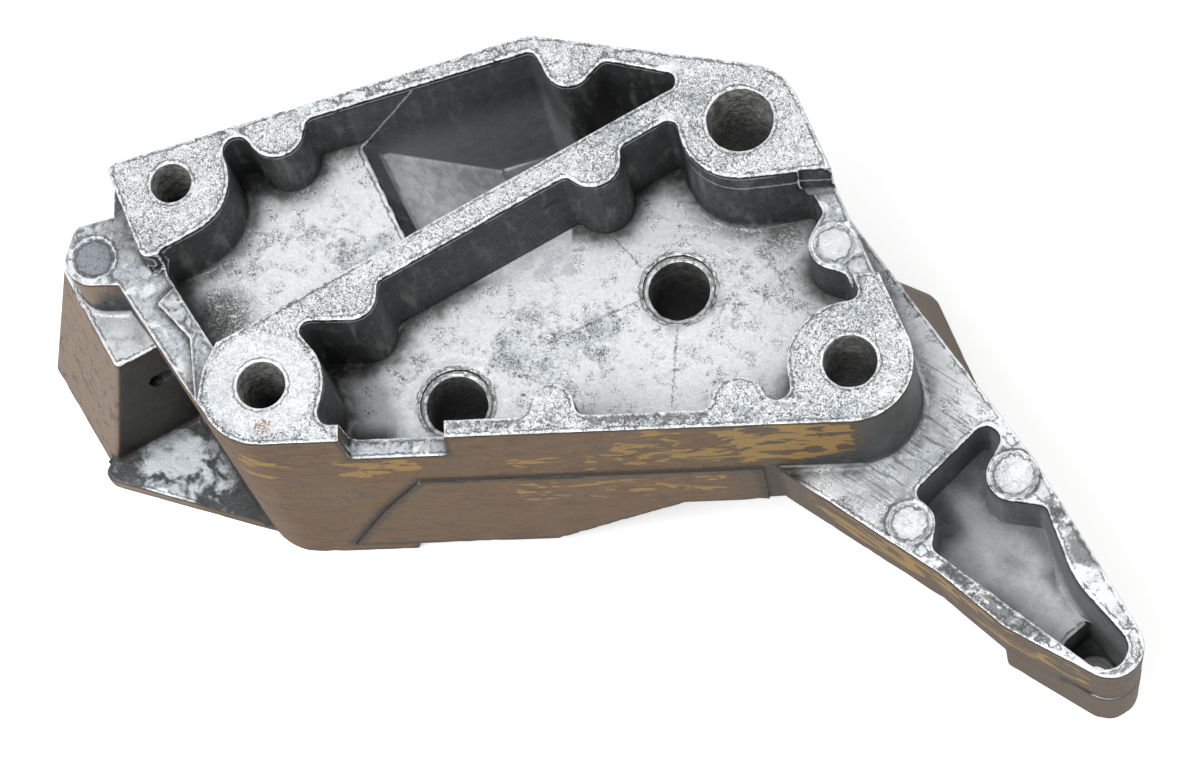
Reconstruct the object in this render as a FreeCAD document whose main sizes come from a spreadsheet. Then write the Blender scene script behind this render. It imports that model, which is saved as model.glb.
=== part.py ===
import FreeCAD, Part
import math
import os

import Sketcher

os.makedirs("parts", exist_ok=True)
doc = FreeCAD.newDocument("HydraulicPumpBracket")
NODE = "bracket_casting"

# Driving sizes, in millimetres and degrees
# Heights are measured up from the engine face, which is the plane z = 0
SIZES = {
    "top_face": 78.0,          # machined face that the pump is bolted to
    "deck_face": 51.0,         # parting plane, arm face and floor of the pump well
    "rear_floor": 58.0,        # raised half of the rear well floor
    "ramp_head": 50.0,         # where the ramp down into the sunk half begins
    "rear_deep": 22.0,         # sunk end of the rear well floor
    "left_ledge": 69.3,        # rim of the left wall between its two bosses
    "left_lip": 70.5,          # narrow lip along the inner side of that rim
    "right_ledge": 67.5,       # rim of the right wall between its two bosses
    "notch_floor": 66.5,       # bottom of the notch in the front wall
    "foot_top": 53.0,          # top of the left mounting foot
    "web_plate": 5.0,          # thin plate at the base between foot and corner
    "arm_under": 29.5,         # underside of the arm
    "arm_floor": 35.0,         # floor of the pocket in the arm
    "boss_under": 13.0,        # lower face of the boss at the end of the arm
    "lug_under": 8.0,          # lower face of the right mounting lug
    "lug_top": 46.0,           # where the right mounting lug dies into the arm
    "core_roof": 44.0,         # roof of the cored hollows under the pump well
    "rear_core_roof": 51.0,    # roof of the cored hollow under the rear floor
    "deep_core_roof": 16.0,    # roof of the hollow under the sunk floor
    "cavity_floor": 23.0,      # floor of the cavity round the end hole
    "belly_low": 5.0,          # underside between the base and the raised belly
    # Where the underside changes level, measured along the front wall
    "base_end": -65.8,
    "belly_start": -63.8,
    "belly_slope_start": -32.8,
    "belly_slope_end": -0.8,
    # Slopes
    "rib_angle": 28.7,         # slanted rib between the two wells
    "draft": 1.5,              # draft of the outer walls
    "well_draft": 1.2,         # draft of the well walls
    "notch_draft": 3.0,        # draft of the ends of the notch
    "foot_edge": 1.5,          # rounding of the foot corners
    # Wall sizes
    "front_wall": 3.9,
    "rib_width": 5.8,
    "corner": 2.2,             # rounding of the inner corners
    "edge": 0.8,               # rounding of sharp outer corners
    "standoff": 0.15,          # a rounding stands this far off the form it runs into
    "parting_step": 0.5,       # lower half of the mould stands proud by this much
    # Bolt bosses of the top face: radius of boss and of hole
    "boss": 13.4,
    "rear_left_boss": 12.7,
    "front_left_hole": 5.25,
    "front_right_hole": 5.75,
    "rear_left_hole": 4.5,
    "rear_right_hole": 7.25,
    "top_hole_end": 12.0,      # height where the front and left bolt holes end
    # Mounting holes in the well floor
    "floor_hole": 6.75,
    "floor_ring": 8.0,
    "ring_depth": 1.0,
    "floor_boss": 12.5,
    # Other holes
    "foot_hole": 3.0,
    "foot_hole_depth": 17.0,
    "foot_hole_level": 35.7,
    "end_hole": 4.2,
    # Ejector pads
    "small_pad": 5.4,
    "left_pad": 5.6,
    "arm_pad": 5.9,
    "arm_pad_small": 5.4,
    "pad_sink": 0.25,
    # Lobes that thicken the walls for the ejector pins
    "lobe_front_left": 5.0,
    "lobe_front_right": 5.5,
    "lobe_rib_left": 5.6,
    "lobe_rib_right": 6.1,
    "lobe_rear_left": 6.2,
    "lobe_rear_right": 5.2,
    # Corner roundings of the outline
    "peak_round": 8.0,
    "end_round": 7.1,
    "bow_round": 14.0,
    "pocket_round": 4.0,
    "pocket_bow_round": 21.0,
    # Runs along the rib and the rear wall to the corners of the rear well
    "rear_start": 10.2,        # left end, beyond the front left boss
    "rear_tip": 16.1,          # right end, short of the large boss
    "step_start": 20.0,        # step to the ramp, beyond the foot of the rib
    "step_run": 4.0,           # how far the face of the step slopes
    "ramp_run": 27.0,          # how far the ramp reaches along both walls
    "step_share": 0.19,        # step on the rear wall, as a share of that wall
    # Roundings beside the right lobe
    "side_neck": 4.4,
    "side_step": 6.1,
    "side_top": 10.8,
    # Pit round the end hole
    "pit_share": 0.136,        # front corner, as a share of the pocket wall
    "pit_run": 8.4,            # rear corner, along the other wall of the pocket
    "pit_round": 1.5,
    "skirt": 6.0,              # wall of the cored underside
}

# Places in plan, x to the right along the front wall and y to the rear
# A third item names the place that the other two are measured from
PLACES = {
    "front_left": (-87.2, -27.6),
    "front_right": (38.3, -27.6),
    "rear_right": (16.0, 28.2),
    "rear_left": (-108.2, 19.7),
    "floor_right": (0.0, 0.0),
    "floor_left": (-49.1, -24.6),
    "peak": (-29.6, 42.4),
    "end_hole": (87.2, -82.7),
    "pad_corner": (-11.5, 2.6, "rear_left"),
    "side_corner": (-11.2, -16.7, "rear_left"),
    "rib_foot": (-35.8, 12.7),
    # Lobes
    "front_lobe_left": (62.1, -7.2, "front_left"),
    "front_lobe_right": (-23.7, -7.7, "front_right"),
    "rib_lobe_left": (-32.4, -20.8, "rib_foot"),
    "rib_lobe_right": (19.8, 7.7, "rib_foot"),
    "rear_lobe_left": (22.8, 11.2, "rear_left"),
    "rear_lobe_right": (8.4, 0.7, "peak"),
    "side_lobe": (-3.2, 30.3, "front_right"),
    # Small roundings of the rear well beside its lobes and bosses
    "rear_neck": (8.4, -1.8, "rear_lobe_right"),
    "rear_peak": (-0.5, 1.9, "peak"),
    "rear_left_neck": (8.6, 0.6, "rear_lobe_left"),
    "rear_side": (-0.3, -17.0, "rear_left"),
    # Ejector pads
    "left_pad": (-18.7, -13.4, "rear_left"),
    "lobe_corner": (-2.7, 5.6, "left_pad"),
    "lobe_front": (-4.0, -19.4, "rear_left"),
    "lobe_rear": (-4.0, -2.0, "rear_left"),
    "arm_pad_far": (-15.8, 37.3, "end_hole"),
    "arm_pad_near": (-38.4, 27.3, "end_hole"),
    # Plate on the front wall, as distance along the wall and height
    "crease_foot": (-78.8, 5.5),
    "crease_bend": (-67.8, 31.0),
    "crease_head": (-57.0, 51.0),
    "plate_end": (17.7, 51.0),
    # Arm
    "arm_root": (-34.9, -0.9, "front_right"),
    "arm_elbow": (7.5, -49.9, "front_right"),
    "arm_heel": (-17.6, 5.3, "end_hole"),
    "arm_end": (3.0, -1.2, "end_hole"),
    "arm_bow": (-23.4, 33.6, "end_hole"),
    "arm_top": (15.6, -8.1, "rear_right"),
    # Boss at the end of the arm
    "boss_heel": (-17.2, 6.5, "end_hole"),
    "boss_end": (2.7, -0.9, "end_hole"),
    "boss_rear": (-2.0, 10.8, "end_hole"),
    "boss_inner": (-11.6, 13.3, "end_hole"),
    # Left foot
    "foot_front": (-124.2, -11.7),
    "foot_flare": (-12.0, -6.4, "foot_front"),
    "foot_rear": (-11.8, 21.6, "foot_front"),
    "foot_rear_flare": (-14.4, -3.8, "foot_rear"),
    "foot_inner": (0.0, -3.0, "rear_left"),
    # Thin plate at the base
    "web_foot": (0.6, -4.0, "foot_flare"),
    "web_front": (0.6, 0.6, "front_left"),
    "web_inner": (8.0, 14.0, "front_left"),
    "web_rear": (6.0, 8.0, "foot_flare"),
    # Lowered rim of the left wall
    "rim_rear": (-19.6, 8.8, "rear_left"),
    "rim_side": (-25.6, -25.2, "rear_left"),
    "rim_front": (-15.6, -12.9, "front_left"),
    "rim_inner_front": (-10.6, 14.1, "front_left"),
    "rim_inner_rear": (1.4, -18.2, "rear_left"),
    "rim_bend": (-4.5, -14.7, "rear_left"),
    "rim_end": (-16.2, 6.3, "rear_left"),
    "band_front": (-18.2, 13.6, "front_left"),
    "band_bend": (-2.8, -25.0, "rear_left"),
    "band_rear": (0.9, -18.7, "rear_left"),
    # Lowered rim of the right wall
    "ledge_near": (-6.9, -10.7, "side_lobe"),
    "ledge_far": (17.1, 13.3, "side_lobe"),
    # Notch in the front wall
    "notch_left": (16.9, -19.9, "front_left"),
    "notch_right": (39.4, -19.9, "front_left"),
    # Pocket in the arm
    "pocket_heel": (4.0, 6.7, "arm_pad_near"),
    "pocket_front": (7.0, -5.1, "arm_pad_near"),
    "pocket_end": (1.7, -1.4, "end_hole"),
    "pocket_bow": (14.8, 23.7, "end_hole"),
    "pocket_neck": (4.8, -9.1, "arm_pad_far"),
    "pocket_rear": (-5.6, 8.2, "arm_pad_far"),
    # Right mounting lug
    "lug_rear": (50.5, 7.1),
    "lug_front": (8.7, -19.6, "lug_rear"),
    "lug_inner_front": (-6.3, -26.6, "lug_rear"),
    "lug_inner_rear": (-8.8, -4.6, "lug_rear"),
    "lug_head_rear": (-3.7, -7.6, "lug_rear"),
    "lug_head_front": (0.7, -20.6, "lug_rear"),
    "lug_head_inner_front": (-3.8, -22.1, "lug_rear"),
    "lug_head_inner_rear": (-6.8, -11.1, "lug_rear"),
    # Cored hollows underneath
    "core_front_left": (17.4, -5.6, "front_left"),
    "core_front_right": (-18.1, -5.6, "front_right"),
    "core_side": (-1.4, 18.1, "front_right"),
    "core_rear_side": (10.7, -20.2, "rear_right"),
    "core_rib_right": (-40.1, 10.1, "front_right"),
    "core_rib_left": (15.4, 10.1, "front_left"),
    "rear_core_front": (12.4, -28.2, "rear_left"),
    "rear_core_rear": (5.1, -3.9, "rear_lobe_left"),
    "rear_core_boss": (15.4, 4.8, "rear_left"),
    "rear_core_side": (6.4, -15.2, "rear_left"),
    "rear_core_foot": (6.4, -23.2, "rear_left"),
    "rear_core_rib": (4.4, 10.1, "front_left"),
    "rear_core_step": (13.4, 10.1, "front_left"),
    "deep_core_left": (-20.2, -59.9, "peak"),
    "deep_core_right": (15.8, -59.9, "peak"),
    "deep_core_tip": (15.8, -3.4, "peak"),
    "deep_core_peak": (-2.2, -2.9, "peak"),
    "deep_core_rear": (-26.2, -7.9, "peak"),
    # Drilled hole in the foot
    "foot_drill": (6.2, 0.3, "foot_front"),
}


class Size:
    """A number together with the spreadsheet expression that it comes from."""

    def __init__(self, value, text):
        self.value = value
        self.text = text

    def _join(self, other, sign, value):
        return Size(value, "(%s %s %s)" % (self.text, sign, as_size(other).text))

    def __add__(self, other):
        return self._join(other, "+", self.value + as_size(other).value)

    def __sub__(self, other):
        return self._join(other, "-", self.value - as_size(other).value)

    def __mul__(self, other):
        return self._join(other, "*", self.value * as_size(other).value)

    def __truediv__(self, other):
        return self._join(other, "/", self.value / as_size(other).value)

    def __neg__(self):
        return Size(-self.value, "(-%s)" % self.text)


def as_size(item):
    """A plain number becomes a size with its own digits as text."""
    return item if isinstance(item, Size) else Size(float(item), repr(float(item)))


def tangent(angle):
    """Tangent of an angle in degrees."""
    return Size(math.tan(math.radians(angle.value)), "tan(%s)" % angle.text)


def cosine(angle):
    """Cosine of an angle in degrees."""
    return Size(math.cos(math.radians(angle.value)), "cos(%s)" % angle.text)


def sine(angle):
    """Sine of an angle in degrees."""
    return Size(math.sin(math.radians(angle.value)), "sin(%s)" % angle.text)


def root(amount):
    """Square root."""
    return Size(math.sqrt(amount.value), "sqrt(%s)" % amount.text)


# Spreadsheet with one named cell for each size
sheet = doc.addObject("Spreadsheet::Sheet", "Sizes")
size = {}
place = {}


def add_cell(alias, value):
    row = len(size) + 1
    sheet.set("A%d" % row, alias)
    sheet.set("B%d" % row, repr(value))
    sheet.setAlias("B%d" % row, alias)
    size[alias] = Size(value, "Sizes." + alias)
    return size[alias]


for alias, value in SIZES.items():
    add_cell(alias, value)
for name, (x_value, y_value, *anchor) in PLACES.items():
    x, y = add_cell(name + "_x", x_value), add_cell(name + "_y", y_value)
    if anchor:
        x, y = place[anchor[0]][0] + x, place[anchor[0]][1] + y
    place[name] = (x, y)
doc.recompute()

body = doc.addObject("PartDesign::Body", NODE)
body.Label = NODE
body.Placement = FreeCAD.Placement()


def origin_plane(role):
    return [item for item in body.Origin.OriginFeatures if item.Role == role][0]


def new_sketch(name, level, role="XY_Plane"):
    """A sketch on an origin plane, lifted along that plane's normal."""
    sketch = body.newObject("Sketcher::SketchObject", name)
    sketch.AttachmentSupport = (origin_plane(role), [""])
    sketch.MapMode = "FlatFace"
    sketch.setExpression("AttachmentOffset.Base.z", as_size(level).text)
    return sketch


def pin(sketch, kind, where, amount):
    """A dimension of the sketch that follows a spreadsheet expression."""
    amount = as_size(amount)
    number = sketch.addConstraint(Sketcher.Constraint(kind, *where, amount.value))
    sketch.setExpression("Constraints[%d]" % number, amount.text)


def discs(name, level, rounds):
    """A sketch with one circle for each (centre, radius)."""
    sketch = new_sketch(name, level)
    for number, (centre, radius) in enumerate(rounds):
        middle = FreeCAD.Vector(centre[0].value, centre[1].value, 0)
        sketch.addGeometry(Part.Circle(middle, FreeCAD.Vector(0, 0, 1), radius.value))
        pin(sketch, "DistanceX", (-1, 1, number, 3), centre[0])
        pin(sketch, "DistanceY", (-1, 1, number, 3), centre[1])
        pin(sketch, "Radius", (number,), radius)
    return sketch


def belt(name, level, corners, role="XY_Plane"):
    """A closed outline of straight runs, each tangent to the arcs at its two ends.

    A corner is (x, y, radius) for an outward bend of the outline, walked with the material
    on its left, or (x, y, radius, -1) where the outline bends inward around a round form.
    """
    sketch = new_sketch(name, level, role)
    rounds = [(c[0], c[1], c[2], c[3] if len(c) > 3 else 1) for c in corners]
    rounds = [(as_size(x), as_size(y), as_size(r), s) for x, y, r, s in rounds]
    count = len(rounds)
    normals = []
    for i in range(count):
        x0, y0, r0, s0 = rounds[i]
        x1, y1, r1, s1 = rounds[(i + 1) % count]
        dx, dy = x1.value - x0.value, y1.value - y0.value
        gap = math.hypot(dx, dy)
        turn = math.asin((s1 * r1.value - s0 * r0.value) / gap)
        heading = math.atan2(dy, dx) - math.pi / 2
        normals.append(heading - turn)
    ends = []
    for i in range(count):
        x, y, r, s = rounds[i]
        before, after = normals[i - 1], normals[i]
        if s < 0:
            before, after = after + math.pi, before + math.pi
        sweep = (after - before) % (2 * math.pi)
        if sweep > 1.5 * math.pi:
            raise RuntimeError("%s bends the wrong way at corner %d" % (name, i))
        middle = FreeCAD.Vector(x.value, y.value, 0)
        circle = Part.Circle(middle, FreeCAD.Vector(0, 0, 1), r.value)
        number = sketch.addGeometry(Part.ArcOfCircle(circle, before, before + sweep))
        ends.append((number, (1, 2) if s > 0 else (2, 1)))
        pin(sketch, "DistanceX", (-1, 1, number, 3), x)
        pin(sketch, "DistanceY", (-1, 1, number, 3), y)
        pin(sketch, "Radius", (number,), r)
    for i in range(count):
        first, (_, leave) = ends[i]
        last, (arrive, _) = ends[(i + 1) % count]
        start = sketch.getPoint(first, leave)
        stop = sketch.getPoint(last, arrive)
        line = sketch.addGeometry(Part.LineSegment(start, stop))
        sketch.addConstraint(Sketcher.Constraint("Tangent", first, leave, line, 1))
        sketch.addConstraint(Sketcher.Constraint("Tangent", line, 2, last, arrive))
    return sketch


def polygon(name, level, corners, role="XY_Plane"):
    """A closed outline of straight runs with sharp corners."""
    sketch = new_sketch(name, level, role)
    points = [(as_size(x), as_size(y)) for x, y in corners]
    vectors = [FreeCAD.Vector(x.value, y.value, 0) for x, y in points]
    count = len(points)
    for i in range(count):
        sketch.addGeometry(Part.LineSegment(vectors[i], vectors[(i + 1) % count]))
    for i in range(count):
        sketch.addConstraint(Sketcher.Constraint("Coincident", i, 2, (i + 1) % count, 1))
    for i, (x, y) in enumerate(points):
        pin(sketch, "DistanceX", (-1, 1, i, 1), x)
        pin(sketch, "DistanceY", (-1, 1, i, 1), y)
    return sketch


def settle(feature, sketch):
    """Hides the sketch, recomputes and returns the change of volume."""
    sketch.Visibility = False
    before = body.Shape.Volume if not body.Shape.isNull() else 0.0
    body.Tip = feature
    doc.recompute()
    if feature.State and ("Invalid" in feature.State or "Error" in feature.State):
        raise RuntimeError("%s could not be built" % feature.Name)
    if feature.Shape.isNull() or not feature.Shape.Faces:
        raise RuntimeError("%s has no shape" % feature.Name)
    if len(feature.Shape.Solids) != 1 or len(feature.Shape.Shells) != 1:
        raise RuntimeError("%s leaves a loose piece or a closed void" % feature.Name)
    return feature.Shape.Volume - before


def pad(name, sketch, length, up=True, taper=0):
    """Adds material from the sketch, upward or downward, narrowing by the taper."""
    feature = body.newObject("PartDesign::Pad", name)
    feature.Profile = sketch
    feature.Reversed = not up
    feature.setExpression("Length", as_size(length).text)
    if taper:
        feature.setExpression("TaperAngle", (-as_size(taper)).text)
    gain = settle(feature, sketch)
    if gain <= 0:
        raise RuntimeError("%s adds nothing" % name)
    return feature


def loft(name, lower_sketch, upper_sketch, cut=False):
    """A block with flat or ruled sides between two outlines of the same make-up."""
    kind = "PartDesign::SubtractiveLoft" if cut else "PartDesign::AdditiveLoft"
    feature = body.newObject(kind, name)
    feature.Profile = lower_sketch
    feature.Sections = [upper_sketch]
    feature.Ruled = True
    upper_sketch.Visibility = False
    gain = settle(feature, lower_sketch)
    if (gain >= 0) if cut else (gain <= 0):
        raise RuntimeError("%s changes nothing" % name)
    return feature


def pocket(name, sketch, length, down=True, taper=0):
    """Cuts material from the sketch, downward or upward, narrowing by the taper."""
    feature = body.newObject("PartDesign::Pocket", name)
    feature.Profile = sketch
    feature.Reversed = not down
    feature.setExpression("Length", as_size(length).text)
    if taper:
        feature.setExpression("TaperAngle", (-as_size(taper)).text)
    gain = settle(feature, sketch)
    if gain >= 0:
        raise RuntimeError("%s cuts nothing" % name)
    return feature


top = size["top_face"]
deck = size["deck_face"]
corner = size["corner"]
edge = size["edge"]
boss = size["boss"]


def at(name, radius, bend=1, shift=(0, 0)):
    """A corner of an outline at a named place."""
    x, y = place[name]
    return (x + shift[0], y + shift[1], as_size(radius), bend)


# The slanted rib: height of its centre line above any x
def rib_y(x, side):
    """Plan height of a line that runs beside the rib, side mm from its centre line."""
    foot_x, foot_y = place["rib_foot"]
    angle = size["rib_angle"]
    return foot_y + (as_size(x) - foot_x) * tangent(angle) + as_size(side) / cosine(angle)


front_in = place["front_left"][1] - boss + size["front_wall"]


# Main box of the casting, above and below the parting plane
def box_outline(name, level, grow):
    return belt(name, level, [
        at("front_left", boss + grow),
        at("front_right", boss + grow),
        at("rear_right", boss + grow),
        at("peak", size["peak_round"] + grow),
        at("pad_corner", size["corner"] + size["edge"] + grow),
        at("side_corner", size["corner"] + size["edge"] + grow),
    ])


lean = (top - deck) * tangent(size["draft"])
pad("upper_box", box_outline("upper_outline", deck, lean), top - deck, True, size["draft"])
pad("lower_box", box_outline("lower_outline", deck, lean), deck, False)

# A plate on the front wall stands a little proud, left of it runs a slanted crease
plate_y = boss + lean - place["front_left"][1] + size["parting_step"]
plate = polygon("plate_outline", plate_y, [
    place["crease_foot"],
    (place["plate_end"][0], place["crease_foot"][1]),
    (place["plate_end"][0], deck),
    (place["crease_head"][0], deck),
    place["crease_bend"],
], "XZ_Plane")
pad("front_plate", plate, size["parting_step"] * 2, False)

# Arm, with its boss at the far end
arm = belt("arm_outline", deck, [
    at("arm_root", edge),
    at("arm_elbow", size["bow_round"], -1),
    at("arm_heel", corner),
    at("arm_end", size["end_round"]),
    at("arm_bow", size["bow_round"]),
    at("arm_top", corner),
    (place["rear_right"][0], place["rear_right"][1] - boss, corner),
])
pad("arm", arm, deck - size["arm_under"], False, size["draft"])


def end_outline(name, level):
    """The boss at the end of the arm hangs lower than the arm itself."""
    return belt(name, level, [
        at("boss_heel", corner),
        at("boss_end", size["end_round"]),
        at("boss_rear", size["pocket_round"]),
        at("boss_inner", corner),
    ])


pad("end_boss", end_outline("end_boss_outline", deck), deck - size["boss_under"], False, size["draft"])

# Left mounting foot: a block that flares towards the engine face
def foot_section(name, level, front, rear):
    inside_x = place["rear_left"][0]
    head_x, head_y = place["foot_front"]
    flare_x, flare_y = place["foot_flare"]
    slope = (head_y - flare_y) / (head_x - flare_x)
    return belt(name, level, [
        at(front, size["foot_edge"]),
        (inside_x, head_y + (inside_x - head_x) * slope, size["foot_edge"]),
        at("foot_inner", size["foot_edge"]),
        at(rear, size["foot_edge"]),
    ])


foot_base = foot_section("foot_base", 0, "foot_flare", "foot_rear_flare")
foot_head = foot_section("foot_head", size["foot_top"], "foot_front", "foot_rear")
loft("foot", foot_base, foot_head)

# Ejector lobe on the foot, level with the rim of the left wall
left_lobe = belt("left_lobe_outline", size["foot_top"] - corner, [
    at("left_pad", size["left_pad"] + edge),
    at("lobe_front", edge),
    at("lobe_rear", edge),
    at("lobe_corner", corner),
])
pad("left_lobe", left_lobe, size["left_ledge"] - size["foot_top"] + corner)

# Thin plate at the base that joins the foot to the front left corner
web = belt("web_outline", 0, [
    at("web_foot", corner),
    at("web_front", boss - edge),
    at("web_inner", corner),
    at("web_rear", corner),
])
pad("web", web, size["web_plate"])

# Well under the pump: every lobe and boss is a round form that the wall runs round
half_rib = size["rib_width"] / 2
standoff = size["standoff"]


def beside_rib(x, radius, side, grow=0):
    """A rounding that touches the rib, above it for side 1 and below it for side -1."""
    return (x, rib_y(x, (half_rib + radius) * side), radius + grow)


def tuck_rib(name, radius, rounding, way, side=-1):
    """A rounding that touches the rib and a round form, to its right for way 1."""
    x, y = place[name]
    foot_x, foot_y = place["rib_foot"]
    along_x, along_y = cosine(size["rib_angle"]), sine(size["rib_angle"])
    far = (half_rib + rounding) * side
    run = (x - foot_x) * along_x + (y - foot_y) * along_y
    rise = (y - foot_y) * along_x - (x - foot_x) * along_y
    reach = radius + rounding + standoff
    run = run + root(reach * reach - (rise - far) * (rise - far)) * way
    return (foot_x + run * along_x - far * along_y, foot_y + run * along_y + far * along_x, rounding)


def tuck_front(name, radius, rounding, way):
    """A rounding that touches the inner face of the front wall and a round form."""
    x, y = place[name]
    rise = y - front_in - rounding
    reach = radius + rounding + standoff
    return (x + root(reach * reach - rise * rise) * way, front_in + rounding, rounding)


def between(first, first_radius, second, second_radius):
    """A rounding that fills the gap between two round forms."""
    x0, y0 = place[first]
    x1, y1 = place[second]
    gap = root((x1 - x0) * (x1 - x0) + (y1 - y0) * (y1 - y0))
    half = (gap - first_radius - second_radius) / 2
    share = (first_radius + half) / gap
    return (x0 + (x1 - x0) * share, y0 + (y1 - y0) * share, half - standoff)


side_reach = size["small_pad"] + corner
well = belt("well_outline", top, [
    tuck_front("front_left", boss, corner + edge, 1),
    tuck_front("front_lobe_left", size["lobe_front_left"], corner, -1),
    at("front_lobe_left", size["lobe_front_left"], -1),
    tuck_front("front_lobe_left", size["lobe_front_left"], corner, 1),
    tuck_front("front_lobe_right", size["lobe_front_right"], corner, -1),
    at("front_lobe_right", size["lobe_front_right"], -1),
    between("front_lobe_right", size["lobe_front_right"], "front_right", boss),
    at("front_right", boss, -1),
    at("front_right", corner, 1, (-standoff, boss + corner + standoff)),
    at("side_lobe", corner, 1, (edge, -side_reach - edge)),
    at("side_lobe", size["small_pad"], -1),
    at("side_lobe", corner, 1, (-size["side_neck"], side_reach)),
    at("side_lobe", corner, 1, (-size["side_step"], size["side_top"])),
    at("rear_right", boss, -1),
    tuck_rib("rear_right", boss, corner, -1),
    tuck_rib("rib_lobe_right", size["lobe_rib_right"], corner, 1),
    at("rib_lobe_right", size["lobe_rib_right"], -1),
    tuck_rib("rib_lobe_right", size["lobe_rib_right"], corner, -1),
    tuck_rib("rib_lobe_left", size["lobe_rib_left"], corner, 1),
    at("rib_lobe_left", size["lobe_rib_left"], -1),
    tuck_rib("front_left", boss, corner, 1),
    at("front_left", boss, -1),
])
pocket("well", well, top - deck, True, size["well_draft"])


# Rear well: a raised floor on the left, then a step, and a ramp down to a sunk end on the right
def rear_right_end(grow):
    return [
        beside_rib(place["rear_right"][0] - size["rear_tip"], corner, 1, grow),
        at("rear_neck", corner + grow),
        at("rear_lobe_right", size["lobe_rear_right"] - grow, -1),
        at("rear_peak", corner + grow),
    ]


rear_well = belt("rear_well_outline", top, [
    beside_rib(place["front_left"][0] - size["rear_start"], corner, 1),
] + rear_right_end(0) + [
    at("rear_left_neck", corner),
    at("rear_lobe_left", size["lobe_rear_left"], -1),
    between("rear_lobe_left", size["lobe_rear_left"], "rear_left", size["rear_left_boss"]),
    at("rear_left", size["rear_left_boss"], -1),
    at("rear_side", corner),
])
pocket("rear_well", rear_well, top - size["rear_floor"], True, size["well_draft"])


def deep_section(name, level, run):
    """Outline of the sunk half at a level, its left side moved that far along the rib and rear wall."""
    grow = (level - top) * tangent(size["well_draft"])
    x0, y0 = place["rear_left_neck"]
    x1, y1 = place["rear_peak"]
    length = root((x1 - x0) * (x1 - x0) + (y1 - y0) * (y1 - y0))
    share = size["step_share"] + run / length
    return belt(name, level, [
        beside_rib(place["rib_foot"][0] - size["step_start"] + run, corner, 1, grow),
    ] + rear_right_end(grow) + [
        (x0 + (x1 - x0) * share, y0 + (y1 - y0) * share, corner + grow),
    ])


def deep_cut(name, upper, upper_run, lower, lower_run):
    """Cuts the sunk half between two levels."""
    loft(name, deep_section(name + "_foot", lower, lower_run), deep_section(name + "_head", upper, upper_run), True)


deep_cut("deep_step", size["rear_floor"], Size(0.0, "0"), size["ramp_head"], size["step_run"])
deep_cut("deep_ramp", size["ramp_head"], size["step_run"], size["rear_deep"], size["ramp_run"])

# Rims between the bolt bosses lie lower than the machined face
rim_outside = [at("rim_rear", edge), at("rim_side", edge), at("rim_front", edge)]
left_lip = belt("left_lip_outline", top, rim_outside + [
    at("front_left", boss, -1),
    at("rim_inner_front", corner),
    at("rim_inner_rear", corner),
    at("rim_bend", corner, -1),
    at("rim_end", edge),
])
pocket("left_lip", left_lip, top - size["left_lip"])
left_band = belt("left_band_outline", size["left_lip"], rim_outside + [
    at("band_front", edge),
    at("band_bend", edge, -1),
    at("band_rear", edge),
    at("rim_bend", corner, -1),
    at("rim_end", edge),
])
pocket("left_band", left_band, size["left_lip"] - size["left_ledge"])

near_x, near_y = place["ledge_near"]
far_x, far_y = place["ledge_far"]
right_rim = polygon("right_rim_outline", top, [
    (near_x, near_y), (far_x, near_y), (far_x, far_y), (near_x, far_y)])
pocket("right_rim", right_rim, top - size["right_ledge"])

notch_x, notch_y = place["notch_left"]
notch_end, _ = place["notch_right"]
notch = polygon("notch_outline", top, [
    (notch_x, notch_y), (notch_end, notch_y), (notch_end, front_in + corner), (notch_x, front_in + corner)])
pocket("notch", notch, top - size["notch_floor"], True, size["notch_draft"])

# Pocket in the arm, open towards the pump side
arm_pocket = belt("arm_pocket_outline", deck, [
    at("pocket_heel", corner),
    at("arm_pad_near", size["arm_pad_small"] + standoff, -1),
    at("pocket_front", corner),
    at("pocket_end", size["end_round"] - corner),
    at("pocket_bow", size["pocket_bow_round"], -1),
    at("pocket_neck", corner),
    at("arm_pad_far", size["arm_pad"], -1),
    at("pocket_rear", corner + edge),
])
pocket("arm_pocket", arm_pocket, deck - size["arm_floor"], True, size["draft"])

# Underside: the base face stays only on the left, the belly rises towards the arm
below = -size["corner"]
beyond = place["arm_end"][0] + size["boss"]
belly = polygon("belly_outline", 0, [
    (size["base_end"], below),
    (size["belly_start"], size["belly_low"]),
    (size["belly_slope_start"], size["belly_low"]),
    (size["belly_slope_end"], size["arm_under"]),
    (beyond, size["arm_under"]),
    (beyond, below),
], "XZ_Plane")
belly_cut = body.newObject("PartDesign::Pocket", "belly")
belly_cut.Profile = belly
belly_cut.Midplane = True
belly_cut.Type = "ThroughAll"
if settle(belly_cut, belly) >= 0:
    raise RuntimeError("belly cuts nothing")
end_foot = end_outline("end_foot_outline", size["arm_under"] + corner)
pad("end_foot", end_foot, size["arm_under"] + corner - size["boss_under"], False, size["draft"])

# Cored hollows under the wells leave a skirt of even thickness
core_round = size["skirt"] / 2
core_gap = half_rib + size["skirt"] / 2 + core_round


def along_rib(name, side):
    """A rounding of a hollow that runs beside the rib, above it for side 1."""
    x = place[name][0]
    return (x, rib_y(x, core_gap * side), core_round)


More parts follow.
